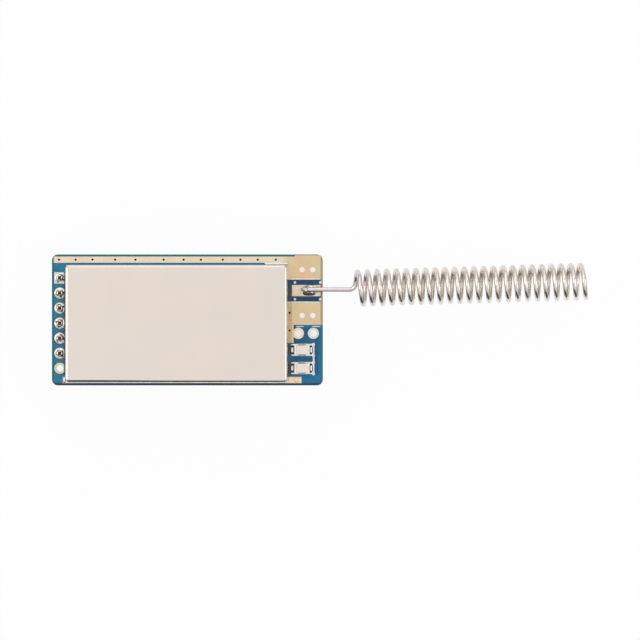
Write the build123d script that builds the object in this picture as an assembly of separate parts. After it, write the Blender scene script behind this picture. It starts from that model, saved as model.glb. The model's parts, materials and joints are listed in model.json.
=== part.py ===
from build123d import *
import os
from math import cos, pi, radians, sin

# Wireless serial module: a small radio board that plugs into a host board by one row
# of square posts. A folded metal can covers the radio and its controller, and a stiff
# wire, wound as a spring, stands out past the end of the board as its antenna.
#
# Frame, in millimetres: the origin is on the axis of post 1, in the plane where the
# posts' insulator sits on the host board. +X runs along the board to the antenna,
# -Y runs along the row of posts, and +Z points from the host board to the can.

# Row of plated holes, with square posts in all but the last
pitch = 2.0
hole_count = 7
post_count = 6
header_bore_d = 0.9
header_pad_d = 1.5

# Square posts and the insulator that holds them
post_w = 0.5
post_below = 4.0
post_above = 1.0
post_taper = 0.3
post_tip_slope = 22
insulator_h = 2.0
insulator_w = 2.0
insulator_notch = 0.3

# Bare board and its copper
board_t = 1.2
board_corner_r = 0.8
copper_t = 0.04
plating_t = 0.04
header_to_left_edge = 1.05
header_to_upper_edge = 3.12
header_to_lower_edge = 2.28

# Folded can
can_length = 29.4
can_h = 2.4
sheet_t = 0.2
bend_r = 0.35
header_pad_to_can = 0.1
strip_to_can = 0.31
can_to_lower_edge = 0.49
landing_w = 0.7

# Ground strips along the two long edges, and the small vias through the upper one
strip_w = 0.83
upper_strip_to_edge = 0.28
lower_strip_to_edge = 0.3
strip_to_left_edge = 0.25
lower_strip_past_can = 1.86
lower_strip_before_can = 0.46
via_d = 0.3
via_places = (0.95, 3.15, 5.4, 8.4, 11.1, 14.85, 17.5, 19.8, 22.7, 25.05, 27.35, 29.75)

# Pads past the can: an antenna pad between two ground pads with two holes each
antenna_zone = 4.7
antenna_to_upper_edge = 4.8
can_to_antenna_pad = 0.6
antenna_pad_w = 1.5
ground_pad_h = 3.1
ground_gap = 2.92
pad_to_right_edge = 0.29
upper_pad_to_edge = 0.1
upper_pad_step = 1.0
ground_bore_d = 0.7
ground_ring_w = 0.2
ground_bore_pitch = 1.4
ground_bores_off_middle = 0.3
upper_bores_to_gap = 1.33
lower_bores_to_gap = 1.85
side_via_to_can = 0.28
side_via_to_gap = 1.5
side_via_drop = 2.35

# Two round plated pads under the lower ground pad
round_pad_gap = 0.37
round_pads_off_middle = 0.09
link_w = 0.82
link_h = 2.4

# Indicator lamps
lamp_count = 2
lamp_l = 2.0
lamp_w = 1.25
lamp_base_t = 0.35
lens_h = 0.45
lens_slope = 6
lamp_end_l = 0.22
lamp_end_t = 0.05
lamp_notch_d = 0.3
lamp_pad_l = 0.95
lamp_pad_past_end = 0.45
lamp_off_middle = -0.42
link_to_lamp_pad = 0.195
lamp_pad_to_strip = 0.445
lamp_solder_l = 0.3
lamp_solder_h = 0.28

# Spring antenna: a straight lead, one bend and a right-handed coil
wire_d = 0.65
coil_od = 5.0
coil_pitch = 1.28
coil_turns = 23.7
coil_start_angle = 17.2
coil_lean = 1.7
coil_past_board = 4.39
coil_above_lead = 0.15
lead_above_pad_middle = 0.14
lead_in_pad = 2.15
lead_lift = 0.05
joint_to_pad_end = 0.15
joint_l = 2.45
joint_w = 1.3
joint_h = 0.5

# Solder round the posts and along the can
solder_rise = 0.75
solder_foot_d = 1.36
solder_top_d = 0.72
solder_waist = 0.08
solder_hollow = 0.08
bead_h = 0.35
upper_bead_on_strip = 0.09
upper_bead_l = 2.7
bead_to_strip_edge = 0.02
lower_bead_left_l = 4.1
lower_bead_middle_l = 3.9
lower_bead_right_l = 5.6
lower_bead_off_middle = 1.05
corner_bead_to_strip_end = 0.1

# Chips under the can: length along the board, width across it, height
radio_w = 4.0
radio_h = 0.85
radio_land_count = 5
radio_land_pitch = 0.5
radio_land_l = 0.4
radio_land_w = 0.25
radio_land_t = 0.05
radio_middle_w = 2.5
radio_to_end = 7.4

controller_l = 4.4
controller_w = 6.5
controller_h = 0.95
controller_lead_count = 10
controller_lead_pitch = 0.65
controller_lead_w = 0.22
controller_to_end = 5.6

regulator_l = 2.9
regulator_w = 1.6
regulator_h = 1.0
regulator_lead_w = 0.4
regulator_lead_pitch = 0.95
regulator_off_middle = 3.2

switch_l = 2.0
switch_w = 1.25
switch_h = 0.85
switch_lead_w = 0.22
switch_lead_pitch = 0.65

crystal_l = 3.2
crystal_w = 2.5
crystal_base_h = 0.4
crystal_lid_h = 0.3
crystal_lid_margin = 0.2
crystal_pad_l = 1.1
crystal_pad_w = 0.9
crystal_off_middle = -2.4

lead_t = 0.13
lead_reach = 0.95
lead_foot_l = 0.5
body_lift = 0.1
body_chamfer = 0.12
chip_clear = 1.0

# Copper that shows round the foot of a part
pad_margin = 0.1

# Small two-ended parts under the can
passive_l = 1.6
passive_w = 0.8
passive_end_l = 0.3
passive_pitch = 1.5
capacitor_h = 0.8
capacitor_count = 5
capacitor_off_middle = -5.2
resistor_h = 0.45
resistor_count = 3
resistor_off_middle = 0.2
inductor_h = 0.7
inductor_count = 4
inductor_below_antenna = 3.5

# Room by which a cutting shape passes the surfaces that it cuts
cut_past = 1.0

# Heights, one above the other
board_z0 = insulator_h + copper_t
board_z1 = board_z0 + board_t
pad_z = board_z1 + copper_t

# Edges of the can and of the board in plan
last_hole_y = -(hole_count - 1) * pitch
left_x = -header_to_left_edge
upper_y = header_to_upper_edge
lower_y = last_hole_y - header_to_lower_edge
can_x0 = header_pad_d / 2 + header_pad_to_can
can_x1 = can_x0 + can_length
can_y0 = lower_y + can_to_lower_edge
can_y1 = upper_y - upper_strip_to_edge - strip_w - strip_to_can
can_w = can_y1 - can_y0
right_x = can_x1 + antenna_zone

# Lines that several pads share
middle_x = (can_x1 + right_x) / 2
antenna_y = upper_y - antenna_to_upper_edge
pad_x1 = right_x - pad_to_right_edge
upper_pad_y0 = antenna_y + ground_gap / 2
lower_pad_y1 = antenna_y - ground_gap / 2
lower_pad_y0 = lower_pad_y1 - ground_pad_h
round_pad_y = lower_pad_y0 - round_pad_gap - header_pad_d / 2
round_pad_xs = [middle_x + round_pads_off_middle + side * pitch / 2 for side in (-1, 1)]
ground_bore_xs = [middle_x + ground_bores_off_middle + side * ground_bore_pitch / 2 for side in (-1, 1)]
ground_bore_ys = (upper_pad_y0 + upper_bores_to_gap, lower_pad_y1 - lower_bores_to_gap)
side_via_y = lower_pad_y1 - side_via_to_gap
link_y0 = lower_pad_y0 - link_h
upper_strip_y = upper_y - upper_strip_to_edge - strip_w / 2
strip_x0 = left_x + strip_to_left_edge
lower_strip_y0 = lower_y + lower_strip_to_edge
lower_strip_y1 = lower_strip_y0 + strip_w

# The lamps share the room between the link and the lower strip evenly
lamp_x = middle_x + lamp_off_middle
lamp_pad_w = lamp_w + 2 * pad_margin
first_lamp_y = link_y0 - link_to_lamp_pad - lamp_pad_w / 2
last_lamp_y = lower_strip_y1 + lamp_pad_to_strip + lamp_pad_w / 2
lamp_ys = [first_lamp_y + i * (last_lamp_y - first_lamp_y) / (lamp_count - 1) for i in range(lamp_count)]

# Places under the can
can_middle_y = (can_y0 + can_y1) / 2
radio_x = can_x1 - radio_to_end
controller_x = can_x0 + controller_to_end
regulator_x = controller_x + controller_l / 2 + lead_reach + chip_clear + regulator_l / 2
regulator_y = can_middle_y + regulator_off_middle
switch_x = radio_x + radio_w / 2 + chip_clear + switch_l / 2
crystal_x = radio_x - radio_w / 2 - chip_clear - crystal_l / 2
crystal_y = can_middle_y + crystal_off_middle
row_x = controller_x + controller_l / 2 + lead_reach + chip_clear + passive_w / 2
capacitors = [(crystal_x - i * passive_pitch, can_middle_y + capacitor_off_middle) for i in range(capacitor_count)]
resistors = [(row_x + i * passive_pitch, can_middle_y + resistor_off_middle) for i in range(resistor_count)]
inductors = [(switch_x, antenna_y - inductor_below_antenna - i * passive_pitch) for i in range(inductor_count)]


# Shapes used again and again

def block(x0, x1, y0, y1, z0, z1):
    """A box given by its limits along X, Y and Z."""
    box = Box(x1 - x0, y1 - y0, z1 - z0, align=(Align.MIN, Align.MIN, Align.MIN))
    return Pos(x0, y0, z0) * box


def slab(x, y, z, length, width, height):
    """A box standing on height z, centred on (x, y)."""
    box = Box(length, width, height, align=(Align.CENTER, Align.CENTER, Align.MIN))
    return Pos(x, y, z) * box


def post(x, y, z0, z1, diameter):
    """A round post or a drill from z0 up to z1."""
    rod = Cylinder(diameter / 2, z1 - z0, align=(Align.CENTER, Align.CENTER, Align.MIN))
    return Pos(x, y, z0) * rod


def drill(x, y, diameter):
    """A round cutter through the board and all that lies on both its faces."""
    return post(x, y, insulator_h - cut_past, pad_z + cut_past, diameter)


def group(solids):
    """Separate solids kept together in one node."""
    return Compound(children=list(solids))


# Board and copper

def header_places():
    return [(0, -i * pitch) for i in range(hole_count)]


def ground_bores():
    return [(x, y) for x in ground_bore_xs for y in ground_bore_ys]


def vias():
    along = [(left_x + place, upper_strip_y) for place in via_places]
    side_x = can_x1 + side_via_to_can
    return along + [(side_x, side_via_y), (side_x, side_via_y - side_via_drop)]


def drilled(solid, places, diameter):
    """The solid with a hole right through it at each place."""
    return solid - [drill(x, y, diameter) for x, y in places]


def circuit_board():
    outline = Rectangle(right_x - left_x, upper_y - lower_y)
    outline = fillet(outline.vertices(), board_corner_r)
    middle = Pos((left_x + right_x) / 2, (lower_y + upper_y) / 2, board_z0)
    board = middle * extrude(outline, board_t)
    round_pads = [(x, round_pad_y) for x in round_pad_xs]
    board = drilled(board, header_places() + round_pads, header_bore_d + 2 * plating_t)
    board = drilled(board, ground_bores(), ground_bore_d + 2 * plating_t)
    return drilled(board, vias(), via_d)


def plated_hole(x, y, bore_d, pad_d, square=False):
    """A ring of copper on each face of the board, joined by the lining of the hole."""
    lining = post(x, y, insulator_h, pad_z, bore_d + 2 * plating_t)
    rings = []
    for z in (insulator_h, board_z1):
        ring = slab(x, y, z, pad_d, pad_d, copper_t) if square else post(x, y, z, z + copper_t, pad_d)
        rings.append(ring)
    return lining + rings - drill(x, y, bore_d)


def header_pads():
    pads = [plated_hole(x, y, header_bore_d, header_pad_d, square=(y == 0)) for x, y in header_places()]
    return group(pads)


def ground_copper():
    """All bare ground copper: edge strips, the can's landing, two pads and one round pad."""
    def patch(x0, x1, y0, y1):
        return block(x0, x1, y0, y1, board_z1, pad_z)

    upper_strip_top = upper_y - upper_strip_to_edge
    landing = patch(can_x0, can_x1, can_y0, can_y1)
    landing -= patch(can_x0 + landing_w, can_x1 - landing_w, can_y0 + landing_w, can_y1 - landing_w)
    half_link = header_bore_d / 2
    copper = landing + [
        patch(strip_x0, can_x1, upper_strip_top - strip_w, upper_strip_top),
        patch(can_x1, pad_x1, upper_pad_y0, upper_strip_top),
        patch(can_x1 + upper_pad_step, pad_x1, upper_pad_y0, upper_y - upper_pad_to_edge),
        patch(can_x1, pad_x1, lower_pad_y0, lower_pad_y1),
        patch(can_x1, can_x1 + link_w, link_y0, lower_pad_y0),
        patch(can_x1, round_pad_xs[0], round_pad_y - half_link, round_pad_y + half_link),
        patch(can_x0 - lower_strip_before_can, can_x1 + lower_strip_past_can, lower_strip_y0, lower_strip_y1),
    ]
    copper += [plated_hole(x, y, ground_bore_d, ground_bore_d + 2 * ground_ring_w) for x, y in ground_bores()]
    copper += plated_hole(round_pad_xs[0], round_pad_y, header_bore_d, header_pad_d)
    copper = drilled(copper, ground_bores(), ground_bore_d)
    copper = drilled(copper, [(round_pad_xs[0], round_pad_y)], header_bore_d)
    return drilled(copper, vias(), via_d)


def round_pad():
    return plated_hole(round_pad_xs[1], round_pad_y, header_bore_d, header_pad_d)


def antenna_pad():
    return block(can_x1 + can_to_antenna_pad, pad_x1, antenna_y - antenna_pad_w / 2,
                 antenna_y + antenna_pad_w / 2, board_z1, pad_z)


# Posts, insulator and their solder

def header_post(y):
    """A square post, tapered to a blunt point at both ends."""
    z0 = -post_below + post_taper
    z1 = board_z1 + post_above - post_taper
    tip = extrude(Rectangle(post_w, post_w), post_taper, taper=post_tip_slope)
    shaft = slab(0, y, z0, post_w, post_w, z1 - z0)
    return shaft + Pos(0, y, z1) * tip + Pos(0, y, z0) * Rot(180, 0, 0) * tip


def header_insulator():
    """A plastic strip with a notch on both sides between each two posts."""
    y0 = -(post_count - 1) * pitch - pitch / 2
    strip = block(-insulator_w / 2, insulator_w / 2, y0, pitch / 2, 0, insulator_h)
    corners = [(side * insulator_w / 2, y0 + i * pitch) for i in range(post_count + 1) for side in (-1, 1)]
    notch = Rot(0, 0, 45) * slab(0, 0, 0, insulator_notch, insulator_notch, insulator_h)
    strip -= [Pos(x, y, 0) * notch for x, y in corners]
    return strip - [slab(0, -i * pitch, 0, post_w, post_w, insulator_h) for i in range(post_count)]


def post_solder(y):
    """A cone of solder that wets the pad and climbs the post, and fills the plated hole."""
    foot = (solder_foot_d / 2, pad_z)
    top = (solder_top_d / 2, pad_z + solder_rise)
    waist = ((foot[0] + top[0]) / 2 - solder_waist, (foot[1] + top[1]) / 2 - solder_waist)
    outline = Polyline(top, (0, top[1]), (0, insulator_h), (header_bore_d / 2, insulator_h),
                       (header_bore_d / 2, pad_z), foot)
    half = Plane.XZ * make_face(ThreePointArc(foot, waist, top) + outline)
    cone = Pos(0, y, 0) * revolve(half, Axis.Z)
    return cone - slab(0, y, 0, post_w, post_w, pad_z + solder_rise + cut_past)


# Can and its solder

def folded_channel(span, run):
    """A sheet folded into an upside-down channel: span across, run along, open below."""
    outer = Rectangle(span, can_h, align=(Align.CENTER, Align.MIN))
    outer = fillet(outer.vertices().group_by(Axis.Y)[-1], bend_r)
    inner = Rectangle(span - 2 * sheet_t, can_h - sheet_t, align=(Align.CENTER, Align.MIN))
    inner = fillet(inner.vertices().group_by(Axis.Y)[-1], bend_r - sheet_t)
    return extrude(Plane.XZ * (outer - inner), run / 2, both=True)


def shield_can():
    """One sheet with four walls folded down, and an open slit at each upright corner."""
    ends = folded_channel(can_length, can_w - 2 * bend_r)
    sides = Rot(0, 0, 90) * folded_channel(can_w, can_length - 2 * bend_r)
    middle = Pos((can_x0 + can_x1) / 2, can_middle_y, pad_z)
    return middle * (ends + sides)


def solder_run(length, width, height, gap=0):
    """Solder in the corner between a wall at x = 0 and the copper below, hollow in front.

    Where a gap lies between the wall and the copper, the solder fills it down to the board.
    """
    slope = (width**2 + height**2) ** 0.5
    hollow = SagittaArc((0, height), (width, 0), -solder_hollow * slope)
    base = [(gap, 0), (gap, -copper_t), (0, -copper_t)] if gap else [(0, 0)]
    outline = make_face(hollow + Polyline((width, 0), *base, (0, height)))
    return extrude(Plane.XZ * outline, length / 2, both=True)


def shield_solder():
    """The runs of solder seen along the can: one at its upper wall, three at its lower, one at its end."""
    upper = Rot(0, 0, 90) * solder_run(upper_bead_l, strip_to_can + upper_bead_on_strip, bead_h, gap=strip_to_can)
    runs = [Pos(can_x1 - bend_r - upper_bead_l / 2, can_y1, pad_z) * upper]
    end_y0 = can_y0 + bend_r
    end_w = lower_strip_before_can - corner_bead_to_strip_end
    end = Rot(0, 0, 180) * solder_run(lower_strip_y1 - end_y0, end_w, bead_h)
    runs.append(Pos(can_x0, (end_y0 + lower_strip_y1) / 2, pad_z) * end)
    lower_beads = (
        (can_x0 + lower_bead_left_l / 2, lower_bead_left_l),
        ((can_x0 + can_x1) / 2 + lower_bead_off_middle, lower_bead_middle_l),
        (can_x1 - lower_bead_right_l / 2, lower_bead_right_l),
    )
    lower_bead_w = can_to_lower_edge - lower_strip_to_edge - bead_to_strip_edge
    for x, length in lower_beads:
        lower = Rot(0, 0, -90) * solder_run(length, lower_bead_w, bead_h)
        runs.append(Pos(x, can_y0, pad_z) * lower)
    return group(runs)


# Antenna

def antenna_path():
    """The wire's middle line: straight lead, one arc, then the coil about its leaning axis.

    The arc lies in the plane of the lead and of the coil's first direction, so the height
    of the coil follows from the height of the lead.
    """
    turn = radians(coil_start_angle)
    along = Vector(1, 0, 0).rotate(Axis.Z, coil_lean)
    radius_dir = Vector(0, sin(turn), -cos(turn)).rotate(Axis.Z, coil_lean)
    lead_y = antenna_y + lead_above_pad_middle
    lead_z = pad_z + lead_lift + wire_d / 2
    axis_start = Vector(right_x + coil_past_board, lead_y + coil_above_lead, 0)
    coil = Edge.make_helix(coil_pitch, coil_pitch * coil_turns, (coil_od - wire_d) / 2)
    coil = Plane(origin=axis_start, x_dir=radius_dir, z_dir=along).location * coil
    start, heading = coil @ 0, coil % 0
    corner = start - heading * ((start.Y - lead_y) / heading.Y)
    lift = Vector(0, 0, lead_z - corner.Z)
    run = (start - corner).length
    bend_start = corner + lift - Vector(run, 0, 0)
    bend = TangentArc(bend_start, start + lift, tangent=(1, 0, 0))
    lead = Line((pad_x1 - lead_in_pad, lead_y, lead_z), bend_start)
    return Wire([lead, bend, Pos(lift) * coil])


def spring_antenna():
    path = antenna_path()
    section = Plane(origin=path @ 0, z_dir=path % 0) * Circle(wire_d / 2)
    return sweep(section, path=path)


def antenna_joint():
    """A low dome of solder on the antenna pad, with the lead lying in it."""
    dome = scale(Sphere(1), by=(joint_l / 2, joint_w / 2, joint_h))
    dome = Pos(pad_x1 - joint_to_pad_end - joint_l / 2, antenna_y + lead_above_pad_middle, pad_z) * dome
    lead = antenna_path().edges()[0]
    wire = sweep(Plane(origin=lead @ 0, z_dir=lead % 0) * Circle(wire_d / 2), path=lead)
    above = block(can_x1, right_x, lower_y, upper_y, pad_z, pad_z + joint_h)
    return (dome & above) - wire


# Indicator lamps: a small carrier board, metal ends, a lens and solder at both ends

def lamp_carrier(y):
    carrier = slab(lamp_x, y, pad_z + lamp_end_t, lamp_l - 2 * lamp_end_t, lamp_w, lamp_base_t)
    return carrier - lamp_notches(y)


def lamp_notches(y):
    """The half-round notch in the middle of each end."""
    return [drill(lamp_x + side * lamp_l / 2, y, lamp_notch_d) for side in (-1, 1)]


def lamp_ends(y):
    """Foil folded round both ends of the carrier."""
    height = lamp_base_t + 2 * lamp_end_t
    inner = slab(lamp_x, y, pad_z + lamp_end_t, lamp_l - 2 * lamp_end_t, lamp_w, lamp_base_t)
    ends = []
    for side in (-1, 1):
        end = slab(lamp_x + side * (lamp_l - lamp_end_l) / 2, y, pad_z, lamp_end_l, lamp_w, height)
        ends.append(end - inner - lamp_notches(y))
    return group(ends)


def lamp_lens(y):
    lens = extrude(Rectangle(lamp_l - 2 * lamp_end_l, lamp_w), lens_h, taper=lens_slope)
    return Pos(lamp_x, y, pad_z + lamp_end_t + lamp_base_t) * lens


def lamp_solder(y):
    runs = []
    for side in (-1, 1):
        run = solder_run(lamp_w, lamp_solder_l, lamp_solder_h)
        run = run if side > 0 else Rot(0, 0, 180) * run
        runs.append(Pos(lamp_x + side * lamp_l / 2, y, pad_z) * run)
    return group(runs)


def lamp_pads():
    reach = lamp_l / 2 + lamp_pad_past_end - lamp_pad_l / 2
    pads = [slab(lamp_x + side * reach, y, board_z1, lamp_pad_l, lamp_pad_w, copper_t)
            for y in lamp_ys for side in (-1, 1)]
    return group(pads)


# Chips with bent leads on two sides

def lead_places(count, lead_pitch):
    """Places of the leads along one side, evenly about the middle."""
    return [(i - (count - 1) / 2) * lead_pitch for i in range(count)]


def bent_lead(body_w, body_h, width):
    """A flat lead that leaves the body at half its height, steps down and ends in a foot."""
    root = body_w / 2
    tip = root + lead_reach
    knee = tip - lead_foot_l
    level = body_lift + (body_h - lead_t) / 2
    outline = Polyline((root, level), (root, level + lead_t), (knee + lead_t, level + lead_t),
                       (knee + lead_t, lead_t), (tip, lead_t), (tip, 0), (knee, 0), (knee, level), close=True)
    return extrude(Plane.XZ * make_face(outline), width / 2, both=True)


def chip_leads(body_w, body_h, near, far, width):
    """The leads of a chip along Y: near ones on its -X side, far ones on its +X side."""
    lead = bent_lead(body_w, body_h, width)
    leads = [Pos(0, y, 0) * lead for y in far]
    return leads + [Pos(0, y, 0) * Rot(0, 0, 180) * lead for y in near]


def lead_pads(body_w, near, far, width):
    """One pad under each foot."""
    reach = body_w / 2 + lead_reach - lead_foot_l / 2
    pads = [(reach, y) for y in far] + [(-reach, y) for y in near]
    return [slab(x, y, 0, lead_foot_l + 2 * pad_margin, width + pad_margin, copper_t) for x, y in pads]


def chip_body(length, width, height):
    """A moulded body with its upper edges bevelled, lifted off the board."""
    body = slab(0, 0, body_lift, length, width, height)
    return chamfer(body.faces().sort_by(Axis.Z)[-1].edges(), body_chamfer)


def upright(x, y):
    """Place of a chip whose leads point along the board."""
    return Pos(x, y, pad_z)


def turned(x, y):
    """Place of a chip whose leads point across the board."""
    return Pos(x, y, pad_z) * Rot(0, 0, 90)


controller_place = upright(controller_x, can_middle_y)
controller_row = lead_places(controller_lead_count, controller_lead_pitch)
regulator_place = turned(regulator_x, regulator_y)
regulator_row = lead_places(3, regulator_lead_pitch)
regulator_pair = [regulator_row[0], regulator_row[-1]]
switch_place = turned(switch_x, antenna_y)
switch_row = lead_places(3, switch_lead_pitch)


def controller_body():
    return controller_place * chip_body(controller_l, controller_w, controller_h)


def controller_lead_set():
    leads = chip_leads(controller_l, controller_h, controller_row, controller_row, controller_lead_w)
    return group([controller_place * lead for lead in leads])


def regulator_body():
    return regulator_place * chip_body(regulator_w, regulator_l, regulator_h)


def regulator_lead_set():
    leads = chip_leads(regulator_w, regulator_h, regulator_row, regulator_pair, regulator_lead_w)
    return group([regulator_place * lead for lead in leads])


def switch_body():
    return switch_place * chip_body(switch_w, switch_l, switch_h)


def switch_lead_set():
    leads = chip_leads(switch_w, switch_h, switch_row, switch_row, switch_lead_w)
    return group([switch_place * lead for lead in leads])


# Radio chip on flat lands, and the crystal

def radio_land_places():
    """Place and turn of each land along the four sides of the radio chip."""
    reach = (radio_w - radio_land_l) / 2
    return [Rot(0, 0, 90 * side) * Pos(reach, y, 0)
            for side in range(4) for y in lead_places(radio_land_count, radio_land_pitch)]


def radio_land_set():
    land = slab(0, 0, 0, radio_land_l, radio_land_w, radio_land_t)
    middle = slab(0, 0, 0, radio_middle_w, radio_middle_w, radio_land_t)
    place = Pos(radio_x, can_middle_y, pad_z)
    return group([place * turn * land for turn in radio_land_places()] + [place * middle])


def radio_body():
    body = slab(radio_x, can_middle_y, pad_z + radio_land_t, radio_w, radio_w, radio_h)
    return chamfer(body.faces().sort_by(Axis.Z)[-1].edges(), body_chamfer)


def crystal_base():
    return slab(crystal_x, crystal_y, pad_z, crystal_l, crystal_w, crystal_base_h)


def crystal_lid():
    length = crystal_l - 2 * crystal_lid_margin
    width = crystal_w - 2 * crystal_lid_margin
    lid = slab(crystal_x, crystal_y, pad_z + crystal_base_h, length, width, crystal_lid_h)
    return fillet(lid.edges().filter_by(Axis.Z), crystal_lid_margin)


# Small two-ended parts: a body between two metal ends

def end_places(x, y, along_board):
    reach = (passive_l - passive_end_l) / 2
    if along_board:
        return [(x - reach, y), (x + reach, y)]
    return [(x, y - reach), (x, y + reach)]


def passive_block(x, y, z, length, width, height, along_board):
    if along_board:
        return slab(x, y, z, length, width, height)
    return slab(x, y, z, width, length, height)


def passive_bodies(places, height, along_board):
    length = passive_l - 2 * passive_end_l
    return group([passive_block(x, y, pad_z, length, passive_w, height, along_board) for x, y in places])


def passive_ends():
    ends = []
    for places, height, along_board in passive_rows:
        for x, y in places:
            ends += [passive_block(*end, pad_z, passive_end_l, passive_w, height, along_board)
                     for end in end_places(x, y, along_board)]
    return group(ends)


passive_rows = ((capacitors, capacitor_h, False), (resistors, resistor_h, False), (inductors, inductor_h, True))


def passive_pads():
    length = passive_end_l + 2 * pad_margin
    width = passive_w + 2 * pad_margin
    pads = []
    for places, height, along_board in passive_rows:
        for x, y in places:
            pads += [passive_block(*end, board_z1, length, width, copper_t, along_board)
                     for end in end_places(x, y, along_board)]
    return pads


def chip_pads():
    """Bare copper under every chip, crystal and small part inside the can."""
    down = Pos(0, 0, -copper_t)
    pads = passive_pads()
    pads += [down * controller_place * pad
             for pad in lead_pads(controller_l, controller_row, controller_row, controller_lead_w)]
    pads += [down * regulator_place * pad
             for pad in lead_pads(regulator_w, regulator_row, regulator_pair, regulator_lead_w)]
    pads += [down * switch_place * pad
             for pad in lead_pads(switch_w, switch_row, switch_row, switch_lead_w)]
    radio = Pos(radio_x, can_middle_y, board_z1)
    pads += [radio * turn * slab(0, 0, 0, radio_land_l, radio_land_w, copper_t) for turn in radio_land_places()]
    pads.append(radio * slab(0, 0, 0, radio_middle_w, radio_middle_w, copper_t))
    reach_x = (crystal_l - crystal_pad_l) / 2
    reach_y = (crystal_w - crystal_pad_w) / 2
    pads += [slab(crystal_x + i * reach_x, crystal_y + j * reach_y, board_z1, crystal_pad_l, crystal_pad_w, copper_t)
             for i in (-1, 1) for j in (-1, 1)]
    return group(pads)


# Every piece, by the name of its node

nodes = {
    "printed_circuit_board": circuit_board(),
    "header_pads": header_pads(),
    "ground_copper": ground_copper(),
    "round_pad": round_pad(),
    "antenna_pad": antenna_pad(),
    "lamp_pads": lamp_pads(),
    "chip_pads": chip_pads(),
    "header_insulator": header_insulator(),
    "shield_can": shield_can(),
    "shield_solder": shield_solder(),
    "spring_antenna": spring_antenna(),
    "antenna_joint": antenna_joint(),
    "controller_body": controller_body(),
    "controller_leads": controller_lead_set(),
    "regulator_body": regulator_body(),
    "regulator_leads": regulator_lead_set(),
    "switch_body": switch_body(),
    "switch_leads": switch_lead_set(),
    "radio_body": radio_body(),
    "radio_lands": radio_land_set(),
    "crystal_base": crystal_base(),
    "crystal_lid": crystal_lid(),
    "capacitor_bodies": passive_bodies(capacitors, capacitor_h, False),
    "resistor_bodies": passive_bodies(resistors, resistor_h, False),
    "inductor_bodies": passive_bodies(inductors, inductor_h, True),
    "passive_ends": passive_ends(),
}
for i in range(post_count):
    nodes[f"header_post_{i + 1}"] = header_post(-i * pitch)
    nodes[f"post_solder_{i + 1}"] = post_solder(-i * pitch)
for i, y in enumerate(lamp_ys):
    nodes[f"lamp_{i + 1}_carrier"] = lamp_carrier(y)
    nodes[f"lamp_{i + 1}_ends"] = lamp_ends(y)
    nodes[f"lamp_{i + 1}_lens"] = lamp_lens(y)
    nodes[f"lamp_{i + 1}_solder"] = lamp_solder(y)

os.makedirs("parts", exist_ok=True)
for name, shape in nodes.items():
    export_step(shape, f"parts/{name}.step")
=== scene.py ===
"""A wireless serial module seen from straight above: looks, small raised details, light and camera."""

import json
import math

import bpy
import numpy as np
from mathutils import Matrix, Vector


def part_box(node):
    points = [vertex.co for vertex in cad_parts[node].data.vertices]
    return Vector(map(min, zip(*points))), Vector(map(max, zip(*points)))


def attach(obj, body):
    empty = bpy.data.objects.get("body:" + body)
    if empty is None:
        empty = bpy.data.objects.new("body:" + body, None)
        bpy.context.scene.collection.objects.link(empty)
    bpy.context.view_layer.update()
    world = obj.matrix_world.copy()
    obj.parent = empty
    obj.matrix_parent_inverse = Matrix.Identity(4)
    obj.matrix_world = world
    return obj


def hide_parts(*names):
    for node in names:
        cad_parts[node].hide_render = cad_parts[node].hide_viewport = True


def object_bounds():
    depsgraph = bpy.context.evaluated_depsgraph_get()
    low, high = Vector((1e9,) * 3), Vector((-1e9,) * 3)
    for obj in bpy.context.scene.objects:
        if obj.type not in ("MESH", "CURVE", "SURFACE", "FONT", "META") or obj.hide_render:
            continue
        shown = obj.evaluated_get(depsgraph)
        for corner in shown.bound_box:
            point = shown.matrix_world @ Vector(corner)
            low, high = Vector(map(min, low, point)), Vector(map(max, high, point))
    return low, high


MM = 0.001

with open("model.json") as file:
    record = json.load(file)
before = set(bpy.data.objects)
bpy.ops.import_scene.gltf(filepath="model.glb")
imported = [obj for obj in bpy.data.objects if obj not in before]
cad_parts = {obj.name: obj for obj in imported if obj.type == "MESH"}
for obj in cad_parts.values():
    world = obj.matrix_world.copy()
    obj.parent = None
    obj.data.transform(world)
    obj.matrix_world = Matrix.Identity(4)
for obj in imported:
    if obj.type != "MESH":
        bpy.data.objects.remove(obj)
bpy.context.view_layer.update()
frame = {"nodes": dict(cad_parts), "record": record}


def box_mm(node):
    """Lowest and highest corner of a node, in millimetres."""
    low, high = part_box(node)
    return np.array(low) / MM, np.array(high) / MM


board_low, board_high = box_mm("printed_circuit_board")
can_low, can_high = box_mm("shield_can")
pad_low, pad_high = box_mm("antenna_pad")
mask_top = board_high[2]
mask_bottom = board_low[2]
pad_top = pad_high[2]

# Places on the board that no node's box gives, in millimetres
board_left = round(float(board_low[0]), 3)
header_pitch = 2.0
post_count = 6
ring_radius = 0.75
spare_ring = (0.0, -header_pitch * post_count)
round_ring = (33.69, -7.36)
pad_gap = 0.72
lower_pad_y = pad_low[1] - 3.9


# Shader helpers


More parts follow.
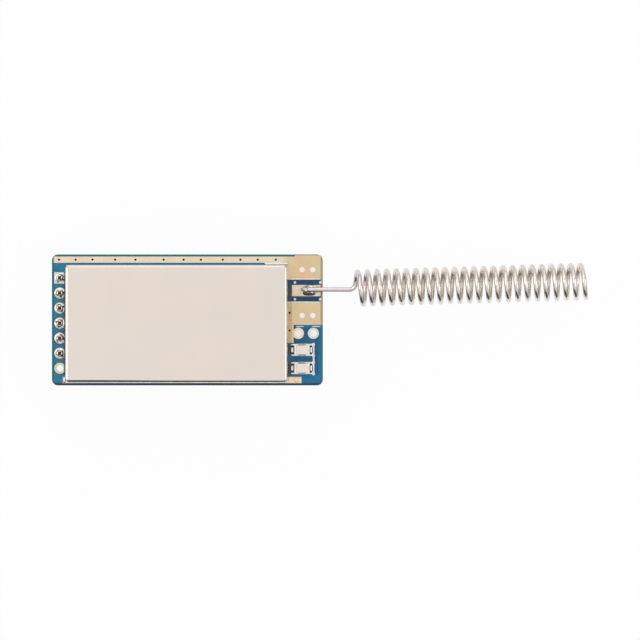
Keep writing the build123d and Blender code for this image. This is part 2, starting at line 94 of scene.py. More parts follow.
class Tree:
    """A node tree with short calls for adding and joining nodes."""

    def __init__(self, tree):
        self.tree = tree
        self.column = 0

    def add(self, kind, values=None, **settings):
        """A node of the given kind. Values are numbers, colours or other nodes' outputs, by socket."""
        node = self.tree.nodes.new(kind)
        node.location = (self.column * 180, 0)
        self.column += 1
        for name, value in settings.items():
            setattr(node, name, value)
        for socket, value in (values or {}).items():
            self.feed(value, node.inputs[socket])
        return node

    def feed(self, value, socket):
        """Link another node's output to the socket, or set the socket's own value."""
        if isinstance(value, bpy.types.NodeSocket):
            self.tree.links.new(value, socket)
        else:
            socket.default_value = value

    def math(self, operation, *values):
        node = self.add("ShaderNodeMath", operation=operation)
        for value, socket in zip(values, node.inputs):
            self.feed(value, socket)
        return node.outputs[0]

    def vector(self, operation, *values):
        node = self.add("ShaderNodeVectorMath", operation=operation)
        for value, socket in zip(values, node.inputs):
            self.feed(value, socket)
        return node.outputs[0]

    def mix(self, factor, first, second):
        node = self.add("ShaderNodeMix", data_type="RGBA")
        for value, index in ((factor, 0), (first, 6), (second, 7)):
            self.feed(value, node.inputs[index])
        return node.outputs[2]

    def ramp(self, value, low, high, start=0.0, end=1.0):
        """Value moved smoothly from the range low..high to start..end, held at both ends."""
        node = self.add("ShaderNodeMapRange", interpolation_type="SMOOTHSTEP")
        for item, index in zip((value, low, high, start, end), range(5)):
            self.feed(item, node.inputs[index])
        return node.outputs[0]

    def group(self, group, values):
        node = self.add("ShaderNodeGroup", node_tree=group)
        for socket, value in values.items():
            self.feed(value, node.inputs[socket])
        return node.outputs


def linear(red, green, blue):
    """A colour written as an 8-bit screen colour, as the linear colour that the shader takes."""
    share = np.array((red, green, blue)) / 255
    value = np.where(share <= 0.04045, share / 12.92, ((share + 0.055) / 1.055) ** 2.4)
    return (*value.tolist(), 1.0)


def new_group(name, inputs, outputs):
    """An empty shader group with the given sockets, and its input and output nodes."""
    group = bpy.data.node_groups.new(name, "ShaderNodeTree")
    for socket, kind, value in inputs:
        made = group.interface.new_socket(socket, in_out="INPUT", socket_type=kind)
        if value is not None:
            made.default_value = value
    for socket, kind in outputs:
        group.interface.new_socket(socket, in_out="OUTPUT", socket_type=kind)
    tree = Tree(group)
    return group, tree, tree.add("NodeGroupInput").outputs, tree.add("NodeGroupOutput").inputs


FLOAT, COLOR, VECTOR = "NodeSocketFloat", "NodeSocketColor", "NodeSocketVector"


def cloudy_tone():
    """Group: two colours mixed by soft clouds of a given size in millimetres."""
    group, tree, given, out = new_group(
        "cloudy tone",
        [("Point", VECTOR, None), ("Size", FLOAT, 2.0), ("Contrast", FLOAT, 0.5),
         ("First", COLOR, None), ("Second", COLOR, None)],
        [("Color", COLOR)])
    scale = tree.math("DIVIDE", 1.0 / MM, given["Size"])
    noise = tree.add("ShaderNodeTexNoise", {"Vector": given["Point"], "Scale": scale, "Detail": 3.0})
    low = tree.math("SUBTRACT", 0.5, given["Contrast"])
    high = tree.math("ADD", 0.5, given["Contrast"])
    share = tree.ramp(noise.outputs[0], low, high)
    tree.feed(tree.mix(share, given["First"], given["Second"]), out["Color"])
    return group


def fine_grain():
    """Group: a height between 0 and 1 of fine grain, stretched along each axis as asked."""
    group, tree, given, out = new_group(
        "fine grain",
        [("Point", VECTOR, None), ("Size", FLOAT, 0.1), ("Stretch", VECTOR, (1.0, 1.0, 1.0)),
         ("Detail", FLOAT, 4.0)],
        [("Height", FLOAT)])
    scale = tree.math("DIVIDE", 1.0 / MM, given["Size"])
    point = tree.vector("MULTIPLY", given["Point"], given["Stretch"])
    noise = tree.add("ShaderNodeTexNoise", {"Vector": point, "Scale": scale, "Detail": given["Detail"]})
    tree.feed(noise.outputs[0], out["Height"])
    return group


def uneven_gloss():
    """Group: a roughness that wanders between two values in patches."""
    group, tree, given, out = new_group(
        "uneven gloss",
        [("Point", VECTOR, None), ("Size", FLOAT, 3.0), ("Low", FLOAT, 0.2), ("High", FLOAT, 0.4)],
        [("Roughness", FLOAT)])
    scale = tree.math("DIVIDE", 1.0 / MM, given["Size"])
    noise = tree.add("ShaderNodeTexNoise", {"Vector": given["Point"], "Scale": scale, "Detail": 5.0})
    tree.feed(tree.ramp(noise.outputs[0], 0.35, 0.65, given["Low"], given["High"]), out["Roughness"])
    return group


def inside_share():
    """Group: 0 outside a rectangle in plan and at its edge, 1 from a width in millimetres inwards."""
    group, tree, given, out = new_group(
        "inside share",
        [("Point", VECTOR, None), ("Low", VECTOR, None), ("High", VECTOR, None), ("Width", FLOAT, 0.1)],
        [("Share", FLOAT)])
    millimetres = tree.vector("MULTIPLY", given["Point"], (1 / MM, 1 / MM, 1 / MM))
    from_low = tree.add("ShaderNodeSeparateXYZ", {0: tree.vector("SUBTRACT", millimetres, given["Low"])})
    from_high = tree.add("ShaderNodeSeparateXYZ", {0: tree.vector("SUBTRACT", given["High"], millimetres)})
    lower = tree.math("MINIMUM", from_low.outputs[0], from_low.outputs[1])
    upper = tree.math("MINIMUM", from_high.outputs[0], from_high.outputs[1])
    tree.feed(tree.ramp(tree.math("MINIMUM", lower, upper), 0.0, given["Width"]), out["Share"])
    return group


clouds = cloudy_tone()
grain = fine_grain()
gloss = uneven_gloss()
inside = inside_share()


class Finish:
    """A material with its shader, its output and the point on the object that its patterns follow."""

    def __init__(self, name, **constants):
        self.material = bpy.data.materials.new(name)
        self.material.use_nodes = True
        self.material.node_tree.nodes.clear()
        self.tree = Tree(self.material.node_tree)
        self.point = self.tree.add("ShaderNodeTexCoord").outputs["Object"]
        self.shader = self.tree.add("ShaderNodeBsdfPrincipled")
        self.tree.add("ShaderNodeOutputMaterial", {"Surface": self.shader.outputs[0]})
        for socket, value in constants.items():
            self.shader.inputs[socket.replace("_", " ")].default_value = value

    def color(self, value):
        self.tree.feed(value, self.shader.inputs["Base Color"])

    def tones(self, size, contrast, first, second):
        """Two screen colours in clouds of that size."""
        return self.tree.group(clouds, {"Point": self.point, "Size": size, "Contrast": contrast,
                                        "First": linear(*first), "Second": linear(*second)})[0]

    def rough(self, size, low, high):
        """A roughness that wanders between low and high in patches of that size."""
        value = self.tree.group(gloss, {"Point": self.point, "Size": size, "Low": low, "High": high})[0]
        self.tree.feed(value, self.shader.inputs["Roughness"])

    def within(self, x0, y0, x1, y1, width):
        """1 inside a rectangle in plan, 0 outside it, in millimetres."""
        return self.tree.group(inside, {"Point": self.point, "Low": (x0, y0, 0.0), "High": (x1, y1, 0.0),
                                        "Width": width})[0]

    def place(self):
        """X, Y and Z on the object, in millimetres."""
        point = self.tree.vector("MULTIPLY", self.point, (1 / MM, 1 / MM, 1 / MM))
        return self.tree.add("ShaderNodeSeparateXYZ", {0: point}).outputs

    def height(self, size, stretch=(1, 1, 1), detail=4.0):
        """A height from 0 to 1 of grain of that size."""
        return self.tree.group(grain, {"Point": self.point, "Size": size, "Stretch": stretch,
                                       "Detail": detail})[0]

    def bump(self, height, depth):
        """Depth in millimetres of the relief that a height from 0 to 1 stands for."""
        bump = self.tree.add("ShaderNodeBump", {"Height": height, "Distance": depth * MM, "Strength": 1.0})
        self.tree.feed(bump.outputs[0], self.shader.inputs["Normal"])


# Finishes


def solder_mask():
    """Blue mask, teal at the rim where no copper lies below it, and bare woven glass at the cut edge;
    painted shade darkens it by the lamps and along the lower rim.
    """
    finish = Finish("blue solder mask", Specular_IOR_Level=0.35)
    tree = finish.tree
    (x0, y0), (x1, y1) = board_low[:2].tolist(), board_high[:2].tolist()
    over_copper = finish.tones(2.2, 0.25, (6, 104, 146), (24, 122, 168))
    bare = finish.within(can_high[0], pad_low[1] - pad_gap, x1, pad_high[1] + pad_gap, 0.12)
    face = tree.mix(bare, over_copper, finish.tones(0.8, 0.3, (10, 56, 98), (16, 78, 118)))
    # Painted shade: the mask darker over the lamps' area between the can and the board's edge
    shade_by_lamps = finish.within(can_high[0], can_low[1] + 0.7, x1 - 0.3, lower_pad_y, 0.5)
    painted_lamp_shade = finish.tones(0.6, 0.25, (12, 58, 84), (26, 92, 124))
    face = tree.mix(tree.math("MULTIPLY", shade_by_lamps, 0.65), face, painted_lamp_shade)
    at_header = finish.within(x0 - 1, y0 - 1, can_low[0] + 0.3, y1 + 1, 0.6)
    face = tree.mix(at_header, face, finish.tones(1.3, 0.25, (44, 136, 162), (24, 108, 156)))
    beside_pads = finish.within(x1 - 0.6, lower_pad_y, x1 + 1, y1 + 1, 0.1)
    rim = tree.mix(beside_pads, linear(26, 112, 122), linear(176, 164, 122))
    face = tree.mix(finish.within(x0 + 0.24, y0, x1 - 0.24, y1 - 0.24, 0.08), rim, face)
    # Painted shadow: the rim along the board's lower edge darker than the rest
    face = tree.mix(finish.within(x0 - 1, y0 + 0.28, x1 + 1, y1 + 1, 0.08), linear(30, 62, 80), face)
    normal = tree.add("ShaderNodeSeparateXYZ", {0: tree.add("ShaderNodeNewGeometry").outputs["Normal"]})
    flat = tree.math("GREATER_THAN", tree.math("ABSOLUTE", normal.outputs[2]), 0.5)
    plies = finish.height(0.16, stretch=(0.12, 0.12, 1.0), detail=2.0)
    laminate = tree.mix(plies, linear(150, 152, 110), linear(196, 190, 150))
    finish.color(tree.mix(flat, laminate, face))
    finish.rough(4.0, 0.14, 0.26)
    finish.bump(finish.height(0.35, detail=3.0), 0.004)
    return finish.material


def plated(finish):
    """The fine matt grain that etched copper gives to thin plating."""
    finish.rough(1.5, 0.24, 0.4)
    finish.bump(finish.height(0.07, detail=5.0), 0.0035)
    return finish.material


def gold(name, first, second):
    """Thin bright plating with soft colour clouds."""
    finish = Finish(name, Metallic=1.0)
    finish.color(finish.tones(1.6, 0.3, first, second))
    return plated(finish)


def ground_gold():
    """Plating that is pale on the long strips, deeper on the antenna's end, and darker beside the can by a
    painted shadow.
    """
    finish = Finish("ground plating", Metallic=1.0)
    tree = finish.tree
    strip = finish.tones(1.6, 0.3, (230, 211, 185), (225, 213, 191))
    pads = finish.tones(1.9, 0.22, (220, 188, 150), (206, 194, 158))
    at_end = finish.within(can_high[0] - 0.8, can_low[1] + 1.2, board_high[0] + 1, board_high[1] + 1, 1.0)
    warm = finish.within(can_high[0], pad_high[1] + 0.82, board_high[0], pad_high[1] + 1.2, 0.12)
    color = tree.mix(warm, tree.mix(at_end, strip, pads), linear(220, 184, 142))
    # Painted shadow: the plating darker beside the can's right wall
    can_shadow_share = finish.within(can_high[0] - 0.2, can_low[1] + 1.6,
                               can_high[0] + 0.66, pad_low[1] - 0.8, 0.1)
    painted_can_shadow = finish.tones(0.5, 0.2, (192, 162, 122), (162, 140, 108))
    color = tree.mix(tree.math("MULTIPLY", can_shadow_share, 0.6), color, painted_can_shadow)
    round_pad = finish.within(31.0, -8.2, 32.6, -6.5, 0.15)
    finish.color(tree.mix(round_pad, color, finish.tones(0.6, 0.2, (228, 212, 206), (222, 212, 178))))
    return plated(finish)


def tinned_sheet():
    """Satin sheet steel with faint rolling lines, and a painted dark line of shade along the lower bend
    above the solder.
    """
    finish = Finish("satin tinned sheet", Metallic=1.0)
    tree = finish.tree
    clean = finish.tones(9.0, 0.35, (232, 217, 206), (225, 216, 208))
    x, y, z = finish.place()
    # Painted shade: a dark line along the lower bend, narrower towards +X
    reach = tree.ramp(x, 3.0, 22.0, can_low[1] + 0.26, can_low[1] + 0.15)
    painted_bend_shade = tree.ramp(tree.math("SUBTRACT", y, reach), -0.03, 0.02, 1.0, 0.0)
    painted_bend_shade = tree.math("MULTIPLY", painted_bend_shade, tree.ramp(z, can_high[2] - 0.4, can_high[2] - 0.3))
    finish.color(tree.mix(painted_bend_shade, clean, finish.tones(1.5, 0.3, (84, 82, 80), (104, 106, 110))))
    finish.rough(6.0, 0.17, 0.23)
    finish.bump(finish.height(0.1, stretch=(0.1, 1.0, 1.0), detail=3.0), 0.0004)
    return finish.material


def solder(name, bright, wrinkle):
    """Bright solder with a softly wrinkled skin and slightly dull patches."""
    finish = Finish(name, Metallic=1.0)
    finish.color(finish.tones(0.5, 0.3, bright, (222, 218, 212)))
    finish.rough(0.4, 0.08, 0.24)
    finish.bump(finish.height(0.22, detail=3.0), wrinkle)
    return finish.material


def tinned_rings():
    """Tin round the header's holes: bright where posts were soldered, duller round the spare hole."""
    finish = Finish("tinned rings", Metallic=1.0)
    bright = finish.tones(0.5, 0.3, (204, 214, 220), (222, 218, 212))
    x, y = spare_ring
    reach = 1.2
    spare = finish.within(x - reach, y - reach, x + reach, y + reach, 0.15)
    dull = finish.tones(0.4, 0.25, (190, 206, 196), (212, 204, 174))
    finish.color(finish.tree.mix(spare, bright, dull))
    finish.rough(0.4, 0.12, 0.28)
    finish.bump(finish.height(0.22, detail=3.0), 0.006)
    return finish.material


def drawn_wire():
    """Tinned spring wire with fine drawing lines round its bright skin, a little warmer along the coil."""
    finish = Finish("drawn tinned wire", Metallic=1.0)
    lead = finish.tones(0.8, 0.35, (224, 217, 217), (208, 199, 197))
    coil = finish.tones(0.8, 0.35, (229, 222, 215), (213, 204, 194))
    finish.color(finish.tree.mix(finish.tree.ramp(finish.place()[0], 38.0, 46.0), lead, coil))
    finish.rough(0.7, 0.1, 0.22)
    finish.bump(finish.height(0.05, stretch=(1.0, 0.3, 0.3), detail=4.0), 0.0012)
    return finish.material


def plated_post():
    """Bright plating down the post, and a dark cut end that shows between the solder, dark partly by its
    own colour and partly by painted shade.
    """
    finish = Finish("plated square post", Metallic=1.0)
    bright = finish.tones(0.6, 0.3, (214, 196, 150), (196, 178, 136))
    # The cut end's dark tones: partly the end's own colour, partly painted shade
    end = finish.tree.ramp(finish.place()[2], pad_top + 0.66, pad_top + 0.8)
    finish.color(finish.tree.mix(end, bright, finish.tones(0.3, 0.3, (88, 80, 48), (72, 38, 40))))
    finish.rough(0.5, 0.2, 0.34)
    finish.bump(finish.height(0.06, stretch=(1.0, 1.0, 0.15), detail=4.0), 0.002)
    return finish.material


def moulded(name, first, second, low, high, depth):
    """Moulded plastic or fired ceramic, with roughness from low to high and a fine grain of that depth."""
    finish = Finish(name)
    finish.color(finish.tones(0.9, 0.3, first, second))
    finish.rough(0.8, low, high)
    finish.bump(finish.height(0.05, detail=4.0), depth)
    return finish.material


def clear_resin():
    """Pale resin with a wet gloss over its white carrier."""
    finish = Finish("pale lamp resin", Coat_Weight=0.4, Coat_Roughness=0.05)
    finish.color(finish.tones(0.8, 0.25, (250, 234, 216), (246, 240, 230)))
    finish.rough(0.6, 0.14, 0.26)
    finish.bump(finish.height(0.25, detail=2.0), 0.004)
    return finish.material


def silk_ink():
    """Matt white ink with a fine grain."""
    finish = Finish("white silk ink")
    finish.color(finish.tones(0.3, 0.3, (234, 241, 255), (218, 229, 252)))
    finish.rough(0.3, 0.45, 0.6)
    finish.bump(finish.height(0.06, detail=4.0), 0.003)
    return finish.material


def painted_shade_film():
    """Dark brown glossy film for painted shade and painted dark reflections, glossier in patches."""
    finish = Finish("dark painted shade film", Coat_Weight=0.5, Coat_Roughness=0.08)
    finish.color(finish.tones(0.25, 0.3, (28, 21, 22), (52, 39, 38)))
    finish.rough(0.3, 0.12, 0.4)
    finish.bump(finish.height(0.12, detail=4.0), 0.012)
    return finish.material


mask = solder_mask()
bare_gold = gold("gold plating", (242, 208, 152), (236, 200, 146))
bright_tin = solder("bright tin", (252, 252, 250), 0.004)
finishes = {
    "board_mask": mask,
    "gold_pads": ground_gold(),
    "tinned_pads": tinned_rings(),
    "tinned_sheet": tinned_sheet(),
    "solder": solder("bright solder", (240, 238, 232), 0.03),
    "antenna_wire": drawn_wire(),
    "post_metal": plated_post(),
    "black_plastic": moulded("moulded black plastic", (26, 26, 28), (34, 34, 36), 0.35, 0.5, 0.004),
    "chip_plastic": moulded("moulded chip plastic", (38, 38, 41), (48, 47, 50), 0.4, 0.6, 0.005),
    "tinned_leads": solder("tinned leads", (224, 222, 218), 0.004),
    "lamp_plastic": clear_resin(),
    "lamp_board": moulded("white carrier board", (236, 232, 222), (226, 222, 214), 0.3, 0.5, 0.003),
    "crystal_ceramic": moulded("pale ceramic", (222, 216, 204), (212, 206, 194), 0.4, 0.6, 0.003),
    "crystal_metal": gold("plated lid", (214, 206, 182), (204, 198, 178)),
    "capacitor_ceramic": moulded("tan ceramic", (186, 150, 112), (172, 138, 104), 0.35, 0.5, 0.003),
    "resistor_ceramic": moulded("glazed film", (30, 30, 33), (42, 42, 46), 0.2, 0.35, 0.003),
    "inductor_ceramic": moulded("grey blue ceramic", (150, 162, 178), (138, 150, 168), 0.35, 0.5, 0.003),
}
ink = silk_ink()
# Dark film for painted shade and painted dark reflections
shade_film = painted_shade_film()
# Dark film for the painted shade round the pads
dark_outline_shade = moulded("dark painted outline shade", (34, 44, 46), (50, 58, 56), 0.4, 0.6, 0.004)

for entry in frame["record"]["subparts"]:
    shown = frame["nodes"][entry["node"]]
    shown.data.materials.clear()
    shown.data.materials.append(finishes[entry["material_slot"]])

washed_gold = gold("tin-washed gold", (222, 206, 196), (204, 194, 152))
frame["nodes"]["antenna_pad"].data.materials[0] = washed_gold
lamp_tin = solder("tinned lamp ends", (252, 248, 232), 0.006)
for node in ("lamp_pads", "lamp_1_ends", "lamp_2_ends", "lamp_1_solder", "lamp_2_solder"):
    frame["nodes"][node].data.materials[0] = lamp_tin


# Small raised details


def add_piece(name, points, faces, slot, material, smooth=True):
    """A closed surface from points in millimetres, which rides on the module."""
    mesh = bpy.data.meshes.new(name)
    mesh.from_pydata((points * MM).tolist(), [], faces)
    mesh.polygons.foreach_set("use_smooth", [smooth] * len(mesh.polygons))
    mesh.materials.append(material)
    mesh.update()
    piece = bpy.data.objects.new(name, mesh)
    bpy.context.scene.collection.objects.link(piece)
    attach(piece, "root")
    return piece


FOOT = 0.01  # how far the foot of an added shape is sunk into its surface, in millimetres
OTHER_WAY = [0, 3, 2, 1]  # order that turns a four-sided face over


def grid_faces(rows, columns, first=0, ring=False):
    """Four-sided faces of a grid of points whose columns close on themselves.

    Face (r, c) joins points c and c + 1 of row r to the same two of row r + 1. In a ring the last row is
    also joined to the first.
    """
    row, column = np.meshgrid(np.arange(rows if ring else rows - 1), np.arange(columns), indexing="ij")
    next_row, next_column = (row + 1) % rows, (column + 1) % columns
    corners = ((row, column), (next_row, column), (next_row, next_column), (row, next_column))
    return first + np.stack([r * columns + c for r, c in corners], axis=2).reshape(-1, 4)


def fan_faces(tip, first, spokes):
    """Three-sided faces from a tip to each pair of neighbours on a ring of points."""
    spoke = np.arange(spokes)
    return np.stack([np.full(spokes, tip), first + spoke, first + (spoke + 1) % spokes], axis=1)


def ridge(line, half_width, height, level, sink=FOOT, side=1):
    """A rounded ridge along a line of points in plan.

    Station s of the line carries a closed profile: offset w(s) u across and height h (1 - u^4) above
    the level, with its foot sunk below it. The half-width w follows a half circle at both ends, so they
    are round. Side is -1 for a ridge that hangs under the board.
    """
    line = np.array(line, float)
    step = np.diff(line, axis=0)
    length = np.linalg.norm(step, axis=1, keepdims=True)
    unit = step / length
    cap = np.array([0.02, 0.35, 0.7, 0.92])
    back = half_width * (1 - np.sqrt(1 - cap**2))
    start = line[0] + unit[0] * back[:, None]
    end = line[-1] - unit[-1] * back[::-1, None]
    middle = line[1:-1]
    stations = np.vstack([start, middle, end])
    widths = np.concatenate([half_width * cap, np.full(len(middle), half_width), half_width * cap[::-1]])
    normal = np.stack([-unit[:, 1], unit[:, 0]], axis=1)
    bend = normal[:-1] + normal[1:]
    bend = bend / (np.sum(bend * bend, axis=1, keepdims=True) / 2)
    across = np.vstack([np.repeat(normal[:1], 4, axis=0), bend, np.repeat(normal[-1:], 4, axis=0)])
    share = np.array([-1.0, -0.85, -0.5, 0.0, 0.5, 0.85, 1.0, 0.0])
    rise = np.append(height * (1 - share[:7] ** 4), -sink)
    rise[[0, 6]] = -sink
    plan = stations[:, None, :] + across[:, None, :] * (widths[:, None, None] * share[None, :, None])
    lift = np.broadcast_to(level + side * rise, plan.shape[:2])
    points = np.concatenate([plan, lift[:, :, None]], axis=2)
    rows, columns = points.shape[:2]
    faces = grid_faces(rows, columns)
    ends = np.stack([np.arange(columns), (rows - 1) * columns + np.arange(columns)[::-1]])
    if side < 0:
        faces, ends = faces[:, ::-1], ends[:, ::-1]
    return points.reshape(-1, 3), faces.tolist() + ends.tolist()


def blot(centre, half, height, level, sink=FOOT, side=1, corner=2.0, wobble=0.0, spokes=24):
    """A low mound on a rounded outline.

    The outline at turn t is (a cos t, b sin t) / (|cos t|^p + |sin t|^p)^(1/p) times 1 + w sin(3t + 7x),
    where p is the corner power and x the centre's place. A ring at angle s up the mound has the share sin s
    of the outline and height h cos s. The flat foot is sunk.
    """
    share = np.sin(np.linspace(0, math.pi / 2, 6)[1:])
    turn = np.linspace(0, 2 * math.pi, spokes, endpoint=False)
    outline = np.stack([half[0] * np.cos(turn), half[1] * np.sin(turn)], axis=1)
    power_sum = np.abs(np.cos(turn)) ** corner + np.abs(np.sin(turn)) ** corner
    outline /= (power_sum ** (1 / corner))[:, None]
    outline *= (1 + wobble * np.sin(3 * turn + 7 * centre[0]))[:, None]
    reach = np.append(share, 1.0)
    rise = np.append(height * np.sqrt(1 - share**2), -sink)
    plan = np.array(centre) + reach[:, None, None] * outline
    lift = np.broadcast_to(level + side * rise[:, None, None], (len(reach), spokes, 1))
    top = np.array([[centre[0], centre[1], level + side * height]])
    points = np.vstack([top, np.concatenate([plan, lift], axis=2).reshape(-1, 3)])
    faces, fan = grid_faces(len(reach), spokes, 1), fan_faces(0, 1, spokes)
    foot = 1 + (len(reach) - 1) * spokes + np.arange(spokes)[::-1]
    if side < 0:
        faces, fan, foot = faces[:, ::-1], fan[:, ::-1], foot[::-1]
    return points, faces.tolist() + fan.tolist() + [foot.tolist()]


def band(outline, width, height, level, sink=FOOT):
    """A flat band of a given width outside a closed outline, given turning left.

    Each corner moves out along the sum of its two edge normals n, scaled by 2 / |n|^2, so the band
    keeps its width. Its four sides run from the sunk foot up to the height and back down.
    """
    outline = np.array(outline, float)
    edge = np.roll(outline, -1, axis=0) - outline
    edge /= np.linalg.norm(edge, axis=1, keepdims=True)
    normal = np.stack([edge[:, 1], -edge[:, 0]], axis=1)
    out = normal + np.roll(normal, 1, axis=0)
    out *= 2 / np.sum(out * out, axis=1, keepdims=True)
    offset = np.array([0.0, 0.0, width, width])
    rise = level + np.array([-sink, height, height, -sink])
    plan = outline[:, None, :] + offset[None, :, None] * out[:, None, :]
    points = np.concatenate([plan, np.broadcast_to(rise[None, :, None], (*plan.shape[:2], 1))], axis=2)
    faces = grid_faces(len(outline), len(offset), ring=True)[:, OTHER_WAY]
    return points.reshape(-1, 3), faces.tolist()


def rectangle(x0, y0, x1, y1):
    """The corners of a rectangle, turning left."""
    return [(x0, y0), (x1, y0), (x1, y1), (x0, y1)]


def circle(centre, radius, spokes=40):
    """Points round a circle, turning left."""
    turn = np.linspace(0, 2 * math.pi, spokes, endpoint=False)
    return np.array(centre) + radius * np.stack([np.cos(turn), np.sin(turn)], axis=1)


def cone(centre, profile, wobble, phase, spokes=40):
    """A turned surface round an upright axis.

    Station i has radius r(i) (1 + w(i) (sin(2t + p) + sin(5t + 2p) / 2)) at turn t and height z(i).
    Both ends close in a point on the axis.
    """
    radius, level = np.array(profile).T
    turn = np.linspace(0, 2 * math.pi, spokes, endpoint=False)
    wave = np.sin(2 * turn + phase) + 0.5 * np.sin(5 * turn + 2 * phase)
    reach = radius[:, None] * (1 + np.array(wobble)[:, None] * wave)
    ring = np.stack([centre[0] + reach * np.cos(turn), centre[1] + reach * np.sin(turn),
                     np.broadcast_to(level[:, None], reach.shape)], axis=2)
    rows = len(radius)
    points = np.vstack([ring.reshape(-1, 3), [[*centre, level[0]], [*centre, level[-1]]]])
    faces = grid_faces(rows, spokes)[:, OTHER_WAY]
    foot = fan_faces(rows * spokes, 0, spokes)[:, [0, 2, 1]]
    head = fan_faces(rows * spokes + 1, (rows - 1) * spokes, spokes)
    return points, faces.tolist() + foot.tolist() + head.tolist()


def lumpy_mound(low, high, level, lump, sink=FOOT):
    """A mound with soft lumps on the ellipse that fills a rectangle in plan.

    The ring with share r lies at r (a cos t, b sin t) from the middle. Its height is h (1 - r^2)^0.6 times
    1 + l sin(17x + 3y) sin(11y - 5x), and the rim is carried straight down to a sunk foot that closes it.
    """
    rows, spokes = 14, 48
    share = np.sin(np.linspace(0, math.pi / 2, rows + 1)[1:])
    turn = np.linspace(0, 2 * math.pi, spokes, endpoint=False)
    middle, half = (np.array(low[:2]) + high[:2]) / 2, (np.array(high[:2]) - low[:2]) / 2
    plan = middle + share[:, None, None] * half * np.stack([np.cos(turn), np.sin(turn)], axis=1)
    height = (high[2] - level) * 0.92
    x, y = plan[..., 0], plan[..., 1]
    bumps = 1 + lump * np.sin(17 * x + 3 * y) * np.sin(11 * y - 5 * x)
    rise = level + height * (1 - share[:, None]**2) ** 0.6 * bumps
    ring = np.concatenate([plan, rise[..., None]], axis=2)
    foot = np.concatenate([plan[-1:], np.full((1, spokes, 1), level - sink)], axis=2)
    points = np.vstack([[[*middle, level + height]], np.concatenate([ring, foot]).reshape(-1, 3)])
    faces, fan = grid_faces(rows + 1, spokes, 1), fan_faces(0, 1, spokes)
    base = 1 + rows * spokes + np.arange(spokes)[::-1]
    return points, faces.tolist() + fan.tolist() + [base.tolist()]


def together(shapes):
    """Several closed surfaces as one list of points and faces."""
    points, faces, count = [], [], 0
    for shape_points, shape_faces in shapes:
        points.append(shape_points)
        faces += [[index + count for index in face] for face in shape_faces]
        count += len(shape_points)
    return np.vstack(points), faces


def line_on(level, points, width, rise):
    """A rounded line on a surface, through points in plan; a middle point is added to a single run."""
    points = np.array(points, float)
    if len(points) == 2:
        points = np.array([points[0], points.mean(axis=0), points[1]])
    return ridge(points, width / 2, rise, level)


# White ink: a bracket round each lamp, the bar that joins them, and two short lines above the round pads
lamp_boxes = [box_mm(f"lamp_{i}_carrier") for i in (1, 2)]
ink_rise = 0.02
bar_x = 33.72
bar_ends = (-8.62, -12.98)
thin_line = 0.13
ink_lines = [line_on(mask_top, [(bar_x, y) for y in bar_ends], 2 * thin_line, ink_rise)]
for low, high in lamp_boxes:
    for y in (high[1] + 0.13, low[1] - 0.13):
        ink_lines.append(line_on(mask_top, [(low[0] - 0.35, y), (bar_x, y)], thin_line, ink_rise))
        ink_lines.append(blot((bar_x - 0.02, y), (0.2, 0.17), 0.035, mask_top, corner=3.0))
for x0, x1 in ((31.35, 32.4), (33.5, 34.62)):
    ink_lines.append(line_on(mask_top, [(x0, -6.45), (x1, -6.45)], 0.14, ink_rise))
add_piece("silk_lines", *together(ink_lines), "lamp_board", ink)

# Small vias filled with white ink, at the corners of the gap round the antenna pad
dots = [(31.24, -0.60), (34.60, -0.60), (31.24, -2.83), (34.60, -2.83)]
add_piece("filled_vias", *together([blot(c, (0.17, 0.19), 0.03, mask_top) for c in dots]), "solder", ink)

# Mask that closes the small vias from below, and three vias covered from above
via_row_y = 2.425
via_offsets = (0.95, 3.15, 5.4, 8.4, 11.1, 14.85, 17.5, 19.8, 22.7, 25.05, 27.35, 29.75)
via_row = [(board_left + x, via_row_y) for x in via_offsets]
side_vias = [(30.53, -4.64), (30.53, -6.99)]
tents = [blot(c, (0.27, 0.27), 0.03, mask_bottom, side=-1) for c in via_row + side_vias]
covered_vias = ((34.17, -11.23), (33.05, -12.90), (-0.26, 1.63))
tents += [blot(c, (0.21, 0.21), 0.03, mask_top) for c in covered_vias]
add_piece("via_tents", *together(tents), "board_mask", mask)

# Dark plugs down in the small vias: painted shade
shade_plugs = [blot(c, (0.148, 0.148), 0.02, mask_bottom + 0.02, sink=0.03) for c in via_row + side_vias]
add_piece("via_shade_plugs", *together(shade_plugs), "black_plastic", shade_film)

# Tracks below the mask of the underside, from the header to vias under the can
track_jog = 0.8
tracks = []
for i in range(post_count):
    y, bend_x, end_x = -header_pitch * i, 2.6 + 0.3 * i, 9.0 + 2.6 * (5 * i % post_count)
    end = (end_x, y - track_jog)
    line = [(0.95, y), (bend_x, y), (bend_x + track_jog, y - track_jog), end]
    tracks += [ridge(line, 0.1, 0.02, mask_bottom, side=-1),
               blot(end, (0.28, 0.28), 0.03, mask_bottom, side=-1)]
over_tracks = moulded("blue mask over tracks", (34, 126, 166), (46, 138, 176), 0.16, 0.26, 0.003)
add_piece("underside_tracks", *together(tracks), "board_mask", over_tracks)

# Painted shade: a dark line round the pads
shade_band_rise = 0.006
pad_shade_bands = [band(rectangle(*pad_low[:2], *pad_high[:2]), 0.1, shade_band_rise, mask_top)]
pad_shade_bands += [band(circle((0.0, -header_pitch * i), ring_radius), 0.08, shade_band_rise, mask_top)
          for i in range(1, post_count + 1)]
pad_shade_bands += [band(circle(round_ring, ring_radius), 0.09, shade_band_rise, mask_top)]
add_piece("pad_shade_lines", *together(pad_shade_bands), "chip_plastic", dark_outline_shade, smooth=False)

